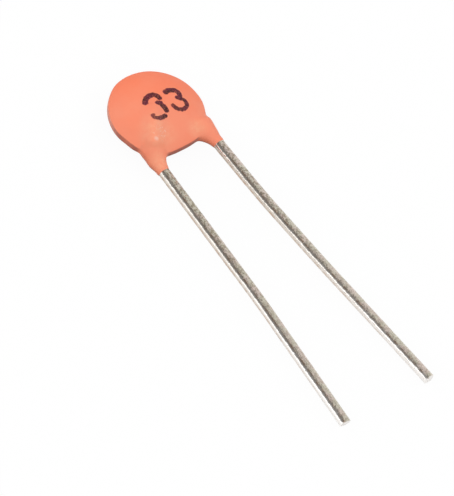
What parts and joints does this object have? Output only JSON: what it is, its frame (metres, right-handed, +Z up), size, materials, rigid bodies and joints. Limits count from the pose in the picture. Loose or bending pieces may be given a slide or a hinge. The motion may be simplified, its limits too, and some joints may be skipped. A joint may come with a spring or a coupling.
{
  "type": "ceramic disc capacitor",
  "caption": "Radial-lead ceramic disc capacitor: a metallised ceramic disc in a dipped orange resin coat, with two long straight tinned wire leads to solder into a circuit board.",
  "frame": {"origin": "middle of the part's footprint, on the surface it lies on", "axes": "+Y from the lead tips to the far edge of the coated disc, along the leads; +Z up, out of the marked face; +X from the front lead (over the upper face) to the back lead"},
  "size_m": [0.006, 0.022, 0.0019],
  "materials": {
    "coat": "waxy matte orange phenolic dip",
    "ceramic": "fired, unglazed",
    "silver": "fired silver",
    "tinned_wire": "dull tinned, finely pitted",
    "solder": "dull solder"
  },
  "bodies": {
    "root": {"coating": "coat", "ceramic_disc": "ceramic", "front_electrode": "silver", "back_electrode": "silver", "front_lead": "tinned_wire", "back_lead": "tinned_wire", "front_solder": "solder", "back_solder": "solder"}
  },
  "joints": []
}
